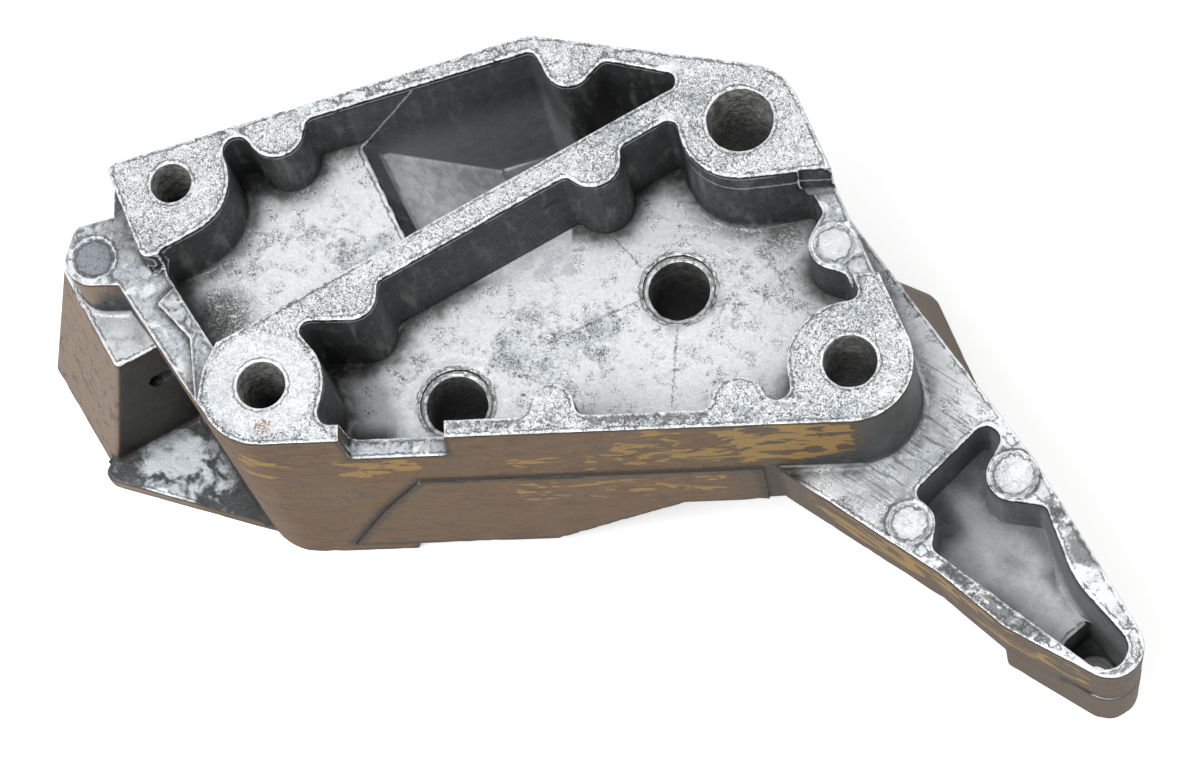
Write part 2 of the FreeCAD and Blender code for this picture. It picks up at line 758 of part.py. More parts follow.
well_core = belt("well_core_outline", 0, [
    at("core_front_left", core_round),
    at("core_front_right", core_round),
    at("front_right", size["front_right_hole"] + size["skirt"], -1),
    at("core_side", core_round),
    at("core_rear_side", core_round),
    at("rear_right", size["rear_right_hole"] + size["skirt"], -1),
    along_rib("core_rib_right", -1),
    along_rib("core_rib_left", -1),
])
pocket("well_core", well_core, size["core_roof"], False)
rear_core = belt("rear_core_outline", 0, [
    at("rear_core_front", core_round),
    along_rib("rear_core_rib", 1),
    along_rib("rear_core_step", 1),
    at("rear_core_rear", core_round),
    at("rear_core_boss", core_round),
    at("rear_core_side", core_round),
    at("rear_core_foot", core_round),
])
pocket("rear_core", rear_core, size["rear_core_roof"], False)
deep_core = belt("deep_core_outline", 0, [
    along_rib("deep_core_left", 1),
    along_rib("deep_core_right", 1),
    at("deep_core_tip", core_round),
    at("deep_core_peak", core_round),
    at("deep_core_rear", core_round),
])
pocket("deep_core", deep_core, size["deep_core_roof"], False)

# Two bosses under the well floor take the bolts that hold the bracket to the engine
def floor_discs(name, level, radius):
    return discs(name, level, [(place["floor_right"], radius), (place["floor_left"], radius)])


pad("floor_bosses", floor_discs("floor_boss_outline", 0, size["floor_boss"]), size["core_roof"] + corner)
pocket("floor_rings", floor_discs("floor_ring_outline", deck, size["floor_ring"]), size["ring_depth"])
pocket("floor_holes", floor_discs("floor_hole_outline", deck, size["floor_hole"]), deck + corner)

# Right mounting lug hangs below the arm and dies into its side
lug_base = belt("lug_base", size["lug_under"], [
    at("lug_rear", size["floor_ring"] - corner),
    at("lug_inner_rear", corner),
    at("lug_inner_front", corner),
    at("lug_front", size["floor_ring"] - corner - edge),
])
lug_head = belt("lug_head", size["lug_top"], [
    at("lug_head_rear", corner),
    at("lug_head_inner_rear", edge),
    at("lug_head_inner_front", edge),
    at("lug_head_front", corner),
])
loft("lug", lug_base, lug_head)

# Bolt holes of the pump face: the left pair is blind, the right pair goes through
def bolt_discs(name, first, second):
    return discs(name, top, [(place[key], size[key + "_hole"]) for key in (first, second)])


pocket("blind_holes", bolt_discs("blind_hole_outline", "front_left", "rear_left"), top - size["top_hole_end"])
through_depth = top - size["arm_under"] + corner
pocket("through_holes", bolt_discs("through_hole_outline", "front_right", "rear_right"), through_depth)

# Pit at the end of the arm pocket, its walls run on from those of the pocket
pit_grow = (size["arm_floor"] - deck) * tangent(size["draft"])
end_x, end_y = place["pocket_end"]
front_x, front_y = place["pocket_front"]
bow_x, bow_y = place["pocket_bow"]
end_radius = size["end_round"] - corner
share = size["pit_share"]
both = end_radius + size["pocket_bow_round"]
bow_dx, bow_dy = bow_x - end_x, bow_y - end_y
bow_gap = bow_dx * bow_dx + bow_dy * bow_dy
bow_run = root(bow_gap - both * both)
normal_x = (both * bow_dx + bow_run * bow_dy) / bow_gap
normal_y = (both * bow_dy - bow_run * bow_dx) / bow_gap
pit_reach = end_radius - size["pit_round"]
pit = belt("pit_outline", size["arm_floor"], [
    (end_x + (front_x - end_x) * share, end_y + (front_y - end_y) * share,
     end_radius + (corner - end_radius) * share + pit_grow),
    (end_x, end_y, end_radius + pit_grow),
    (end_x + pit_reach * normal_x - size["pit_run"] * normal_y,
     end_y + pit_reach * normal_y + size["pit_run"] * normal_x,
     size["pit_round"] + pit_grow),
])
pocket("pit", pit, size["arm_floor"] - size["cavity_floor"], True, size["draft"])
end_hole = discs("end_hole_outline", size["cavity_floor"], [(place["end_hole"], size["end_hole"])])
pocket("end_hole", end_hole, size["cavity_floor"] - size["boss_under"] + corner)

# Ejector pins leave shallow round marks on their pads
marks = discs("arm_mark_outline", deck, [
    (place["arm_pad_far"], size["arm_pad"] - edge), (place["arm_pad_near"], size["arm_pad_small"] - edge)])
pocket("arm_marks", marks, size["pad_sink"])
side_mark = discs("side_mark_outline", size["right_ledge"], [(place["side_lobe"], size["small_pad"] - edge)])
pocket("side_mark", side_mark, size["pad_sink"])
left_mark = discs("left_mark_outline", size["left_ledge"], [(place["left_pad"], size["left_pad"] - edge)])
pocket("left_mark", left_mark, size["pad_sink"])

# Drilled hole in the front face of the foot
drill_x, drill_y = place["foot_drill"]
head_x, head_y = place["foot_front"]
flare_x, flare_y = place["foot_flare"]
slant = Size(
    math.degrees(math.atan((head_y.value - flare_y.value) / (head_x.value - flare_x.value))),
    "atan((%s) / (%s))" % ((head_y - flare_y).text, (head_x - flare_x).text))
drill = new_sketch("foot_hole_outline", -drill_y, "XZ_Plane")
drill.AttachmentOffset = FreeCAD.Placement(
    FreeCAD.Vector(drill_x.value, size["foot_hole_level"].value, -drill_y.value),
    FreeCAD.Rotation(FreeCAD.Vector(0, 1, 0), slant.value))
drill.setExpression("AttachmentOffset.Base.x", drill_x.text)
drill.setExpression("AttachmentOffset.Base.y", size["foot_hole_level"].text)
drill.setExpression("AttachmentOffset.Rotation.Angle", slant.text)
drill.addGeometry(Part.Circle(FreeCAD.Vector(0, 0, 0), FreeCAD.Vector(0, 0, 1), size["foot_hole"].value))
drill.addConstraint(Sketcher.Constraint("Coincident", 0, 3, -1, 1))
pin(drill, "Radius", (0,), size["foot_hole"])
pocket("foot_hole", drill, size["foot_hole_depth"])

for item in doc.Objects:
    if "Invalid" in item.State or "Error" in item.State:
        raise RuntimeError("%s failed" % item.Name)
shape = body.Shape
if shape.isNull() or not shape.isValid():
    raise RuntimeError("the casting has no valid shape")
shape.exportStep("parts/%s.step" % NODE)
box = shape.BoundBox
print("casting %.1f x %.1f x %.1f mm, %.0f cm3, %d solids, %d faces" % (
    box.XLength, box.YLength, box.ZLength, shape.Volume / 1000, len(shape.Solids), len(shape.Faces)))
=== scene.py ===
import math

import bmesh
import bpy
import numpy as np
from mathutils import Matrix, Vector
from mathutils.bvhtree import BVHTree


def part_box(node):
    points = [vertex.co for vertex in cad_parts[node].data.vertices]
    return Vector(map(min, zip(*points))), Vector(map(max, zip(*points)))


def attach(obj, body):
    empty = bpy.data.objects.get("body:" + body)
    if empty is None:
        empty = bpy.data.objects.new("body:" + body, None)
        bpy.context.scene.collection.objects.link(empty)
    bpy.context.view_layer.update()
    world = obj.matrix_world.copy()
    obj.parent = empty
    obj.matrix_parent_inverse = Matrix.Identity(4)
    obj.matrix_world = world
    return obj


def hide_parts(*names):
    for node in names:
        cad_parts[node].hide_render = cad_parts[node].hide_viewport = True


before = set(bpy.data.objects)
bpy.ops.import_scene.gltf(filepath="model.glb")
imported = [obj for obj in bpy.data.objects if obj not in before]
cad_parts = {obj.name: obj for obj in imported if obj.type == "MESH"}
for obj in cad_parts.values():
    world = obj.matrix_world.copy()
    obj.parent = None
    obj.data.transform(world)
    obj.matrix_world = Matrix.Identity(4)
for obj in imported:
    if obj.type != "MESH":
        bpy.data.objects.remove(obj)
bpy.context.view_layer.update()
scene = bpy.context.scene
scene.view_settings.view_transform = "Standard"

# Camera
# The bracket lies on its engine face and is seen from above the front wall through a long lens,
# so its upright walls show as narrow bands and its machined faces nearly in plan.
camera_data = bpy.data.cameras.new("camera")
camera_data.lens = 120.0
camera_data.sensor_width = 36.0
camera_data.clip_start = 0.05
camera_data.clip_end = 30.0
camera = bpy.data.objects.new("camera", camera_data)
camera.location = (0.07444, -0.30332, 0.87102)
camera.rotation_euler = (math.radians(18.9256), math.radians(6.4761), math.radians(-0.2321))
scene.collection.objects.link(camera)
scene.camera = camera

# Casting, the mesh
# One aluminium die casting, milled on its upper faces and left as cast on its walls.
# The skin is the CAD solid with its rims broken and its floors rounded into the walls, cut into
# small cells so that each point can carry how far it is from a rim and how open it lies.
RIM_BREAK = 0.00035
FLOOR_ROUND = 0.0017
CELL = 0.002
FIRST_CUT = 0.57
SHARP = math.radians(28)
TALL = 0.004
MERGE_GAP = 2e-6
FLAT_ANGLE = 0.005
LEVEL_NORMAL = 0.9
UPRIGHT_NORMAL = 0.3
RAYS = 14
RAY_REACH = 0.12
RAY_START = 0.0003
LOWEST_RAY = 0.15
GOLDEN_TURN = 2.39996
NICK_WAVES = (0.0031, 0.0047, 0.0083, 0.0021)
NICK_REACH = 0.7
NICK_DEPTH = 0.00035
MM = 1000


def merged_copy(node):
    """The node's triangles joined at their corners, with flat areas made single faces."""
    mesh = bmesh.new()
    mesh.from_mesh(node.data)
    bmesh.ops.remove_doubles(mesh, verts=mesh.verts, dist=MERGE_GAP)
    bmesh.ops.dissolve_limit(mesh, angle_limit=FLAT_ANGLE, verts=mesh.verts, edges=mesh.edges)
    return mesh


def edge_points(mesh, sign, spacing=0.0006):
    """Points along all edges that bend outward (sign 1) or inward (sign -1): start + share * run."""
    sharp = [e for e in mesh.edges if e.is_manifold and e.calc_face_angle_signed(0) * sign > SHARP]
    ends = np.array([[e.verts[0].co[:], e.verts[1].co[:]] for e in sharp])
    counts = np.maximum((np.linalg.norm(ends[:, 1] - ends[:, 0], axis=1) / spacing).astype(int), 1) + 1
    row = np.repeat(np.arange(len(ends)), counts)
    first = np.repeat(np.cumsum(counts) - counts, counts)
    share = ((np.arange(len(row)) - first) / (counts[row] - 1))[:, None]
    return ends[row, 0] * (1 - share) + ends[row, 1] * share


def nearest(points, targets, rows=800):
    """Distance in mm from each point to the nearest target: the root of |p|^2 + |t|^2 - 2 p.t."""
    points, targets = points * MM, targets * MM
    squares = (targets ** 2).sum(1)
    result = np.empty(len(points))
    for start in range(0, len(points), rows):
        block = points[start:start + rows]
        table = squares - 2 * block @ targets.T
        result[start:start + rows] = table.min(1) + (block ** 2).sum(1)
    return np.sqrt(np.maximum(result, 0))


def height(face):
    """Extent of a face in z."""
    levels = [v.co.z for v in face.verts]
    return max(levels) - min(levels)


def corner_edges(mesh, sign, tall):
    """Edges between a level face and an upright one that is at least that tall."""
    found = []
    for e in mesh.edges:
        if e.is_manifold and e.calc_face_angle_signed(0) * sign > SHARP:
            level, upright = sorted(e.link_faces, key=lambda f: -f.normal.z)
            square = level.normal.z > LEVEL_NORMAL and abs(upright.normal.z) < UPRIGHT_NORMAL
            if square and height(upright) > tall:
                found.append(e)
    return found


def soften(mesh, sign, tall, width, segments):
    """Rounds those corner edges by the width."""
    bmesh.ops.bevel(mesh, geom=corner_edges(mesh, sign, tall), offset=width, segments=segments,
                    profile=0.5, affect="EDGES", offset_type="OFFSET", clamp_overlap=False)


def cut_into_cells(mesh, low, high, cell):
    """Cuts the faces along three sets of level planes, so that no face is wider than a cell."""
    for axis in (2, 0, 1):
        normal = Vector((0, 0, 0))
        normal[axis] = 1
        for k in range(int((high[axis] - low[axis]) / cell) + 1):
            level = low[axis] + (k + FIRST_CUT) * cell
            across = [e for e in mesh.edges
                      if (e.verts[0].co[axis] - level) * (e.verts[1].co[axis] - level) < 0]
            faces = {f for e in across for f in e.link_faces}
            edges = {e for f in faces for e in f.edges}
            verts = {v for f in faces for v in f.verts}
            bmesh.ops.bisect_plane(mesh, geom=list(verts) + list(edges) + list(faces),
                                   plane_co=normal * level, plane_no=normal, dist=1e-6)


def openness(mesh, tree):
    """For each face, the share of a fan of rays round its normal that meet no metal within reach."""
    turn = np.arange(RAYS) * GOLDEN_TURN
    rise = 1 - (np.arange(RAYS) + 0.5) / RAYS * (1 - LOWEST_RAY)
    spread = np.sqrt(1 - rise ** 2)
    fan = np.stack([np.cos(turn) * spread, np.sin(turn) * spread, rise], 1).tolist()
    shares = []
    for face in mesh.faces:
        normal = face.normal
        side = normal.orthogonal().normalized()
        other = normal.cross(side)
        start = face.calc_center_median() + normal * RAY_START
        ways = [side * x + other * y + normal * z for x, y, z in fan]
        free = sum(tree.ray_cast(start, way, RAY_REACH)[0] is None for way in ways)
        shares.append(free / RAYS)
    return np.array(shares)


def spread_to_corners(data, values):
    """Face values averaged at each vertex over the faces that look the same way of six."""
    count = len(data.polygons)
    normals = np.empty(count * 3)
    data.polygons.foreach_get("normal", normals)
    normals = normals.reshape(-1, 3)
    axis = np.abs(normals).argmax(1)
    way = axis * 2 + (normals[np.arange(count), axis] > 0)
    totals = np.empty(count, dtype=int)
    data.polygons.foreach_get("loop_total", totals)
    verts = np.empty(len(data.loops), dtype=int)
    data.loops.foreach_get("vertex_index", verts)
    face = np.repeat(np.arange(count), totals)
    key = verts * 6 + way[face]
    total = np.bincount(key, values[face], len(data.vertices) * 6)
    number = np.bincount(key, None, len(data.vertices) * 6)
    return total[key] / number[key]


def ripple(places, waves, seed):
    """Smooth uneven values between -1 and 1: the mean of sines with turned directions."""
    random = np.random.default_rng(seed)
    total = np.zeros(len(places))
    for wave in waves:
        way = random.normal(size=3)
        way /= np.linalg.norm(way)
        total += np.sin(places @ way * (2 * np.pi / wave) + random.uniform(0, 6.28))
    return total / len(waves)


low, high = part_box("bracket_casting")
skin_mesh = merged_copy(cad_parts["bracket_casting"])
rim_points = edge_points(skin_mesh, 1)
nook_points = edge_points(skin_mesh, -1)
solid = BVHTree.FromBMesh(skin_mesh)
soften(skin_mesh, -1, TALL, FLOOR_ROUND, 4)
soften(skin_mesh, 1, RIM_BREAK * 2, RIM_BREAK, 2)
cut_into_cells(skin_mesh, low, high, CELL)
open_share = openness(skin_mesh, solid)
skin_data = bpy.data.meshes.new("casting_skin")
skin_mesh.to_mesh(skin_data)
skin_mesh.free()
places = np.empty(len(skin_data.vertices) * 3)
skin_data.vertices.foreach_get("co", places)
places = places.reshape(-1, 3)
normals = np.empty(len(skin_data.vertices) * 3)
skin_data.vertices.foreach_get("normal", normals)
normals = normals.reshape(-1, 3)
rim_far = nearest(places, rim_points)
nook_far = nearest(places, nook_points)
for name, values, domain in (("rim", rim_far, "POINT"), ("nook", nook_far, "POINT"),
                             ("open", spread_to_corners(skin_data, open_share), "CORNER")):
    attribute = skin_data.attributes.new(name, "FLOAT", domain)
    attribute.data.foreach_set("value", values.astype(np.float32))
nick = np.clip(ripple(places, NICK_WAVES, 3), 0, 1) * np.clip(1 - rim_far / NICK_REACH, 0, 1)
places -= normals * (nick * NICK_DEPTH)[:, None]
skin_data.vertices.foreach_set("co", places.ravel())
skin_data.shade_smooth()
skin = bpy.data.objects.new("casting_skin", skin_data)
scene.collection.objects.link(skin)
bpy.context.view_layer.objects.active = skin
skin.select_set(True)
bpy.ops.object.shade_smooth_by_angle(angle=math.radians(30))
skin.select_set(False)


# Casting, the finish
# Milled faces are bright and finely pitted, well walls are smooth cast skin painted dark, partly as their own
# colour and partly as painted shade, and the outside is stained brown by oil and heat with worn yellow paint.
# Rims are nicked and carry a painted highlight and a painted shadow line; corners hold dirt and painted
# shade.
class Field:
    """A socket of a node tree. Sums, products and comparisons of fields add Math nodes."""

    def __init__(self, finish, socket):
        self.finish = finish
        self.socket = socket

    def _math(self, operation, first, second=0.0):
        return self.finish.node("ShaderNodeMath", {"operation": operation}, {0: first, 1: second})

    def __add__(self, other):
        return self._math("ADD", self, other)

    def __radd__(self, other):
        return self._math("ADD", other, self)

    def __sub__(self, other):
        return self._math("SUBTRACT", self, other)

    def __rsub__(self, other):
        return self._math("SUBTRACT", other, self)

    def __mul__(self, other):
        return self._math("MULTIPLY", self, other)

    def __rmul__(self, other):
        return self._math("MULTIPLY", other, self)

    def __truediv__(self, other):
        return self._math("DIVIDE", self, other)

    def __or__(self, other):
        """The larger of the two."""
        return self._math("MAXIMUM", self, other)

    def __and__(self, other):
        """The smaller of the two."""
        return self._math("MINIMUM", self, other)

    def __abs__(self):
        return self._math("ABSOLUTE", self)

    def root(self):
        return self._math("SQRT", self)


class Finish:
    """One material and its node tree, with a Principled shader."""

    def __init__(self, name):
        self.material = bpy.data.materials.new(name)
        self.material.use_nodes = True
        self.tree = self.material.node_tree
        self.shader = self.tree.nodes["Principled BSDF"]

    def node(self, kind, settings=None, inputs=None, out=0):
        """Adds a node: its settings first, then the values or links of its sockets."""
        made = self.tree.nodes.new(kind)
        for key, value in (settings or {}).items():
            setattr(made, key, value)
        for key, value in (inputs or {}).items():
            self.set(made.inputs[key], value)
        return Field(self, made.outputs[out])

    def set(self, socket, value):
        if isinstance(value, Field):
            self.tree.links.new(value.socket, socket)
        elif isinstance(value, tuple) and len(value) == 3 and socket.type == "RGBA":
            socket.default_value = (*value, 1.0)
        else:
            socket.default_value = value

    def feed(self, name, value):
        self.set(self.shader.inputs[name], value)

    def split(self, vector):
        """The three numbers of a vector."""
        made = self.node("ShaderNodeSeparateXYZ", None, {0: vector}).socket.node
        return [Field(self, socket) for socket in made.outputs]

    def step(self, value, start, end):
        """0 before start, 1 after end, smooth between them. Start may be the larger one."""
        return self.node("ShaderNodeMapRange", {"interpolation_type": "SMOOTHSTEP"},
                         {"Value": value, "From Min": start, "From Max": end})

    def line(self, value, place, width):
        """1 where the value is at the place, 0 from half a width away."""
        return self.step(abs(value - place), width / 2, width / 5)

    def mix(self, share, first, second):
        """Colour between first, at share 0, and second, at share 1."""
        return self.node("ShaderNodeMix", {"data_type": "RGBA"}, {0: share, 6: first, 7: second}, 2)

    def stretch(self, vector, factors):
        return self.node("ShaderNodeVectorMath", {"operation": "MULTIPLY"}, {0: vector, 1: factors})

    def noise(self, place, scale, detail=2.0, rough=0.5, bend=0.0):
        return self.node("ShaderNodeTexNoise", None, {
            "Vector": place, "Scale": scale, "Detail": detail, "Roughness": rough, "Distortion": bend})

    def attribute(self, name):
        return self.node("ShaderNodeAttribute", {"attribute_name": name}, None, 2)


casting = Finish("cast_aluminium")
mix, step, line, noise = casting.mix, casting.step, casting.line, casting.noise
OBJECT_PLACE = 3
NORMAL = 1
mm = casting.stretch(casting.node("ShaderNodeTexCoord", None, None, OBJECT_PLACE), (1000.0, 1000.0, 1000.0))
x, y, z = casting.split(mm)
face_x, face_y, face_z = casting.split(casting.node("ShaderNodeNewGeometry", None, None, NORMAL))
rim = casting.attribute("rim")
nook = casting.attribute("nook")
sky = casting.attribute("open")


def far_from(place):
    """Distance in plan from a place, in mm."""
    east, north = x - place[0], y - place[1]
    return (east * east + north * north).root()


def near(place, none, full, wander=0.0):
    """1 nearer to a place in plan than full, 0 further than none, with the distance made longer by wander."""
    return step(far_from(place) + wander, none, full)


def within(value, low_end, high_end, soft):
    """1 between two ends, 0 from soft beyond them."""
    return step(value, low_end - soft, low_end) * step(value, high_end + soft, high_end)


def any_of(shares):
    """The largest of several shares."""
    total = shares[0]
    for share in shares[1:]:
        total = total | share
    return total


def stroke(start, stop, width):
    """1 on the straight line between two places in plan, 0 from half a width beside it."""
    dx, dy = stop[0] - start[0], stop[1] - start[1]
    length = math.hypot(dx, dy)
    along = (x - start[0]) * (dx / length) + (y - start[1]) * (dy / length)
    beside = (x - start[0]) * (-dy / length) + (y - start[1]) * (dx / length)
    return line(beside + uneven * 1.2, 0.0, width) * within(along, 0.0, length, 1.0)


# Noise fields, from hand-wide clouds down to pits of a third of a millimetre
cloud = noise(mm, 0.055, 2.0, 0.55)
blotch = noise(mm, 0.26, 3.0, 0.6, 0.5)
patch = noise(mm, 0.75, 2.0, 0.6, 0.3)
grain = noise(mm, 1.9, 2.0, 0.6, 0.8)
worm = step(abs(noise(mm, 0.60, 2.0, 0.6, 2.2) - 0.5), 0.045, 0.020)
pit = step(grain, 0.55, 0.62)
uneven = patch - 0.5

# Level faces: bright metal with grey clouds, worm-shaped scratches and pits, most on the milled face
BRIGHT = (0.945, 0.97, 0.99)
SILVER = (0.58, 0.62, 0.66)
MOTTLE = (0.40, 0.425, 0.455)
CORNER_SHADE_GREY = (0.27, 0.295, 0.325)
PIT = (0.085, 0.085, 0.09)
FOOT_X = (-104.0, -108.0)
at_foot = step(x, *FOOT_X)
ramp = within(x, -70.0, -24.0, 1.0) * step(y, 2.0, 6.0) * within(z, 22.6, 52.0, 0.6) * step(face_z, 0.4, 0.55)
foot_hole = within(z, 10.0, 50.0, 0.5) * at_foot
# Painted shade: level faces that lie closed in, and those inside the foot's hole, take the dark wall colour.
level = step(face_z, 0.45, 0.8) * step(sky, 0.12, 0.3) * (1.0 - foot_hole) | ramp
milled = step(z, 76.0, 77.5)
metal = mix(step(cloud + patch * 0.3 + blotch * 0.25, 0.80, 1.02), BRIGHT, SILVER)
# Painted shade: level faces turn blue-grey within a few mm of the foot of a wall.
metal = mix(step(nook + blotch * 6.0, 6.0, 3.0) * 0.45, metal, CORNER_SHADE_GREY)
metal = mix(step(patch + grain * 0.35, 0.50, 0.82) * (0.10 + milled * 0.22), metal, MOTTLE)
wormy = worm * step(blotch + cloud * 0.4 + milled * 0.21, 0.66, 0.84)
metal = mix(wormy * 0.88, metal, PIT)
metal = mix(pit * step(cloud + blotch * 0.5 + milled * 0.14, 0.76, 0.96) * 0.8, metal, PIT)

# Smooth spots: turned rings round the engine bolt holes, the white washer mark, the ejector pads
GRIME_AND_SHADE = (0.045, 0.042, 0.038)
RUST = (0.26, 0.085, 0.035)
FLOOR_HOLES = ((0.0, 0.0), (-49.1, -24.6))
FRONT_LEFT_HOLE = (-87.2, -27.6)
REAR_RIGHT_HOLE = (16.0, 28.2)
LEFT_PAD = (-126.9, 6.3)
ROUND_PADS = (((35.1, 2.7), 4.8), ((71.4, -45.4), 5.3), ((48.8, -55.4), 4.8))
washer_mark = near(FRONT_LEFT_HOLE, 12.8, 12.0, patch * 1.5)
pads = any_of([near(place, radius + 0.2, radius - 0.1) for place, radius in ((LEFT_PAD, 5.0), *ROUND_PADS)])
rings = any_of([near(place, 8.1, 7.9) for place in FLOOR_HOLES])
clean_metal = mix(step(patch, 0.45, 0.75) * 0.6, BRIGHT, SILVER)
metal = mix(washer_mark * 0.55 | pads * 0.35 | rings * 0.8, metal, clean_metal)
pad_edge = any_of([line(far_from(place) + uneven * 0.6, radius + 0.3, 1.0) for place, radius in ROUND_PADS])
metal = mix(pad_edge * step(blotch, 0.28, 0.5) * 0.8, metal, PIT)
turned_edge = any_of([line(far_from(place), radius, 0.7) for place in FLOOR_HOLES for radius in (6.95, 8.25)])
metal = mix(turned_edge * step(blotch, 0.25, 0.5) * 0.75, metal, GRIME_AND_SHADE)
rust = near((-86.7, -37.3), 5.2, 3.6, patch * 5.0) * step(grain, 0.42, 0.55)
metal = mix(rust * 0.75, metal, RUST)

# Cast faces that were not milled are greyer: low rims, foot, arm pocket and the base plate.
# The ramp is lifted to near white instead, which is painted light.
CAST_GREY = (0.17, 0.175, 0.18)
PAD_GREY = (0.22, 0.25, 0.275)
FOOT_PALE = (0.80, 0.83, 0.86)
FOOT_GREY = (0.5, 0.53, 0.56)
POCKET_GREY = (0.62, 0.63, 0.65)
POCKET_PALE = (0.92, 0.93, 0.94)
RAMP_PAINTED_LIGHT = (0.96, 0.98, 1.0)
RAMP_GREY = (0.66, 0.69, 0.72)
PLATE_DARK = (0.060, 0.068, 0.074)
PLATE_PALE = (0.80, 0.86, 0.90)
CHIPPED = ((82.5, -53.0), (86.5, -61.5), (56.0, -66.4), (61.0, -71.0), (66.0, -76.0), (72.0, -82.0))
cast_rim = within(z, 66.0, 71.0, 0.5)
foot_top = within(z, 52.2, 54.0, 0.3)
sunk = step(z, 49.0, 46.0) * step(z, 20.0, 22.0)
arm_face = within(z, 50.0, 52.0, 0.5)
arm_chips = any_of([near(place, 9.5, 7.0, blotch * 6.0) for place in CHIPPED]) * arm_face
arm_root = near((46.0, -38.0), 24.0, 14.0, blotch * 10.0) * arm_face
as_cast = mix(step(blotch + patch * 0.4, 0.56, 0.82), CAST_GREY, SILVER)
as_cast = mix(pit * 0.45, as_cast, PIT)
pocket = mix(step(cloud + patch * 0.25, 0.48, 0.72), POCKET_GREY, POCKET_PALE)
pocket = mix(step(y + blotch * 10.0, -64.0, -48.0) * 0.6, pocket, CAST_GREY)
# Painted shade: the pocket floor is greyer close to the foot of its walls.
pocket = mix(step(nook + blotch * 5.0, 5.0, 2.0) * 0.4, pocket, CAST_GREY)
# The base plate is dark with pale patches, palest round its middle; its dark along the body wall is painted
# shade.
plate_pale_patches = noise(mm, 0.15, 3.0, 0.62, 0.4) * 1.2 + near((-118.0, -21.5), 24.0, 4.0) * 0.34
plate = mix(step(plate_pale_patches + patch * 0.2, 0.90, 1.08), PLATE_DARK, PLATE_PALE)
metal = mix(cast_rim * step(blotch, 0.32, 0.55) * (1.0 - pads * 0.8), metal, as_cast)
metal = mix(near(LEFT_PAD, 5.6, 5.2) * 0.85, metal, mix(pit, PAD_GREY, PIT))
metal = mix(arm_root * 0.6, metal, as_cast)
metal = mix(arm_chips * step(blotch + patch * 0.6, 0.62, 0.78) * 0.85, metal, mix(pit, CAST_GREY, PIT))
metal = mix(foot_top * 0.7, metal, mix(step(blotch, 0.4, 0.7), FOOT_PALE, FOOT_GREY))
metal = mix(sunk * 0.9, metal, pocket)
# Painted light: the ramp deep in the rear well is near white, to make up for the shade it lies in.
metal = mix(ramp, metal, mix(step(blotch + grain * 0.3, 0.5, 0.8), RAMP_PAINTED_LIGHT, RAMP_GREY))
ledge = step(rim, 3.6, 2.6) * within(z, 34.5, 35.5, 0.3) * near((87.2, -82.7), 18.0, 16.0)
metal = mix(ledge * 0.9, metal, BRIGHT)
metal = mix(step(z, 9.0, 7.0) * 0.95, metal, plate)

# Scratches across the root of the arm, faint marks in the floor of the front well
RAKE_TURN = 0.62
FLOOR_MARKS = (((-14.0, 12.2), (-8.5, 6.0)), ((-29.6, -11.7), (-8.6, -2.2)), ((-0.5, -9.5), (-1.8, -26.7)))
turned = casting.node("ShaderNodeVectorRotate", {"rotation_type": "Z_AXIS"}, {
    "Vector": mm, "Angle": RAKE_TURN})
rake = noise(casting.stretch(turned, (0.12, 1.3, 1.0)), 1.0, 2.0, 0.65, 0.6)
raked = step(rake, 0.53, 0.62) * near((48.0, -36.0), 24.0, 12.0) * arm_face
metal = mix(raked * 0.75, metal, CAST_GREY)
marks = any_of([stroke(start, stop, 0.7) for start, stop in FLOOR_MARKS])
metal = mix(marks * step(grain, 0.38, 0.5) * 0.6 * within(z, 50.5, 51.5, 0.3), metal, PIT)

# Dirt and painted shade darken the foot of tall walls and the corners, most where closed in; dirt also
# lies in patches at the left end of the rear well and behind the right engine bolt hole
dirt_patch = near((-100.0, -4.5), 14.5, 7.0, blotch * 8.0) * within(z, 56.0, 62.0, 1.0)
dirt_patch = dirt_patch | near((24.0, 14.0), 15.0, 6.0, blotch * 10.0) * within(z, 50.0, 54.0, 1.0)
dirt_patch = dirt_patch * step(grain + patch * 0.4, 0.45, 0.75) * 0.85
ring_near = any_of([near(place, 14.0, 11.5) for place in FLOOR_HOLES])
sheltered = step(sky, 0.80, 0.58) * (1.0 - ring_near) * (1.0 - foot_top * 0.6) * (1.0 - sunk * 0.6)
# Partly dirt, partly painted shade: darker near concave corners, most where the surface lies closed in.
dirt_and_shade = step(nook + blotch * 6.0, 8.6, 2.6) * sheltered * 0.9 | step(nook + blotch * 4.0, 3.4, 1.0) * 0.7
dirt_and_shade = (dirt_and_shade | dirt_patch) * step(z, 76.0, 75.0)
metal = mix(dirt_and_shade * (1.0 - ramp * 0.8), metal, GRIME_AND_SHADE)

# Upright walls inside: cast skin with upright drag marks, painted near black, partly as the skin's own dark
# and partly as painted shade; blacker still where closed in, which is painted shade
WALL = (0.038, 0.042, 0.043)
WALL_LIGHT = (0.105, 0.112, 0.116)
WALL_DARK_AND_SHADE = (0.014, 0.014, 0.014)
DRAG = (0.20, 0.20, 0.195)
PALE_WALL = (0.36, 0.37, 0.38)
PALE_WALL_DARK = (0.16, 0.17, 0.172)
drag = noise(casting.stretch(mm, (0.30, 0.30, 0.07)), 1.0, 3.0, 0.65, 0.3)
wall = mix(step(blotch, 0.40, 0.78) * 0.6, WALL, WALL_LIGHT)
# Painted shade: walls that lie closed in are blacker.
wall = mix(step(sky, 0.30, 0.05) * 0.8, wall, WALL_DARK_AND_SHADE)
wall = mix(step(patch + blotch * 0.4, 0.74, 0.84) * 0.6, wall, WALL_DARK_AND_SHADE)
wall = mix(step(drag, 0.52, 0.72) * 0.55, wall, DRAG)
